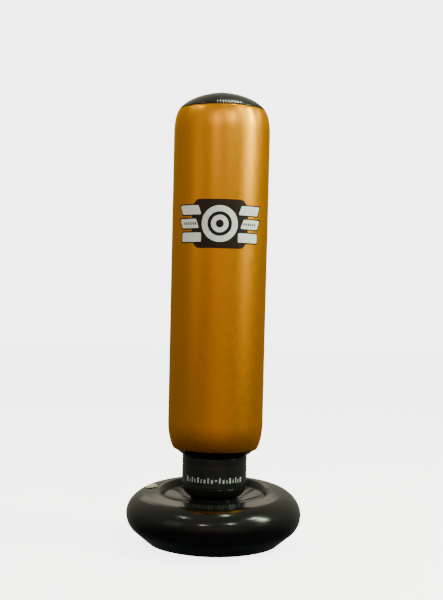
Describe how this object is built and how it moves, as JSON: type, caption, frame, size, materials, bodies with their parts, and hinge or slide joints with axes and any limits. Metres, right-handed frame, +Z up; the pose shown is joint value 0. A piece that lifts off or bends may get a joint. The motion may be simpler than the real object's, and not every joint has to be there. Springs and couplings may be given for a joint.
{
  "type": "inflatable punch bag",
  "caption": "Free-standing inflatable punch bag: gold air column with a black domed top, on a flexing neck over a water-filled ring base.",
  "frame": {"origin": "centre of the footprint, on the floor", "axes": "+Z up along the bag, -Y towards the printed front, +X to the right seen from the front"},
  "size_m": [0.6166, 0.6166, 1.6],
  "materials": {
    "black_pvc": "glossy black PVC film with soft creases",
    "gold_pvc": "pearlescent gold PVC film, satin gloss",
    "valve_pvc": "soft moulded natural PVC",
    "water": "clear water"
  },
  "bodies": {
    "base": {"base_bottom_panel": "black_pvc", "base_outer_panel": "black_pvc", "base_inner_panel": "black_pvc", "core_tube": "black_pvc", "ballast_water": "water", "water_valve_flange": "valve_pvc"},
    "water_stopper": {"water_valve_stopper": "valve_pvc"},
    "neck": {"neck_taper": "black_pvc", "neck_sleeve": "black_pvc"},
    "column": {"column_bottom_panel": "black_pvc", "column_wall": "gold_pvc", "top_panel": "black_pvc", "air_valve_flange": "valve_pvc"},
    "air_stem": {"air_valve_stem": "valve_pvc"},
    "air_stopper": {"air_valve_stopper": "valve_pvc"},
    "air_flap": {"air_valve_flap": "valve_pvc"}
  },
  "joints": [
    {"name": "neck_sway_fore_aft", "type": "hinge", "parent": "base", "child": "neck", "pos_m": [0, 0, 0.202], "axis": [1, 0, 0], "range_deg": [-25, 25], "stiffness_Nm_per_rad": 40, "deforming": ["neck_taper", "neck_sleeve"]},
    {"name": "neck_sway_sideways", "type": "hinge", "parent": "neck", "child": "column", "pos_m": [0, 0, 0.274], "axis": [0, 1, 0], "range_deg": [-25, 25], "stiffness_Nm_per_rad": 40, "deforming": ["neck_sleeve"]},
    {"name": "water_stopper_hinge", "type": "hinge", "parent": "base", "child": "water_stopper", "pos_m": [-0.22065, 0.06023, 0.19251], "axis": [-0.9735, 0.1717, -0.1509], "range_deg": [0, 150]},
    {"name": "air_stem_slide", "type": "slide", "parent": "column", "child": "air_stem", "axis": [0, 1, 0], "range_m": [0, 0.012]},
    {"name": "air_stopper_hinge", "type": "hinge", "parent": "air_stem", "child": "air_stopper", "pos_m": [-0.0125, 0.1697, 0.47], "axis": [0, 0, 1], "range_deg": [0, 150]},
    {"name": "air_flap_hinge", "type": "hinge", "parent": "air_stem", "child": "air_flap", "pos_m": [0, 0.15165, 0.4764], "axis": [-1, 0, 0], "range_deg": [0, 45], "stiffness_Nm_per_rad": 0.001}
  ]
}
